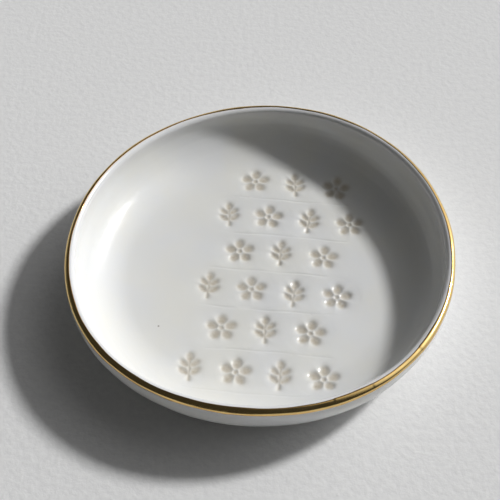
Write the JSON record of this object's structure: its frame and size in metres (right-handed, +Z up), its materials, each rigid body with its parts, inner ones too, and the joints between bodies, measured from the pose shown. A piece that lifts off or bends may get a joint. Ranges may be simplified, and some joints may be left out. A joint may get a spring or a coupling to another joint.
{
  "type": "ring dish",
  "caption": "Low round ring dish of white glazed ceramic, with a flat foot, a wall that bends up from the floor and a gold lustre lip.",
  "frame": {"origin": "middle of the flat foot, on the face that the dish stands on", "axes": "+Z up, out of the well; +X to the right and +Y away from the viewer as the dish lies in the picture"},
  "size_m": [0.0881, 0.0912, 0.0146],
  "materials": {
    "clay": "matte",
    "glaze": "gloss",
    "gold": "polished"
  },
  "bodies": {
    "root": {"clay_body": "clay", "inner_glaze": "glaze", "outer_glaze": "glaze", "gold_rim": "gold"}
  },
  "joints": []
}
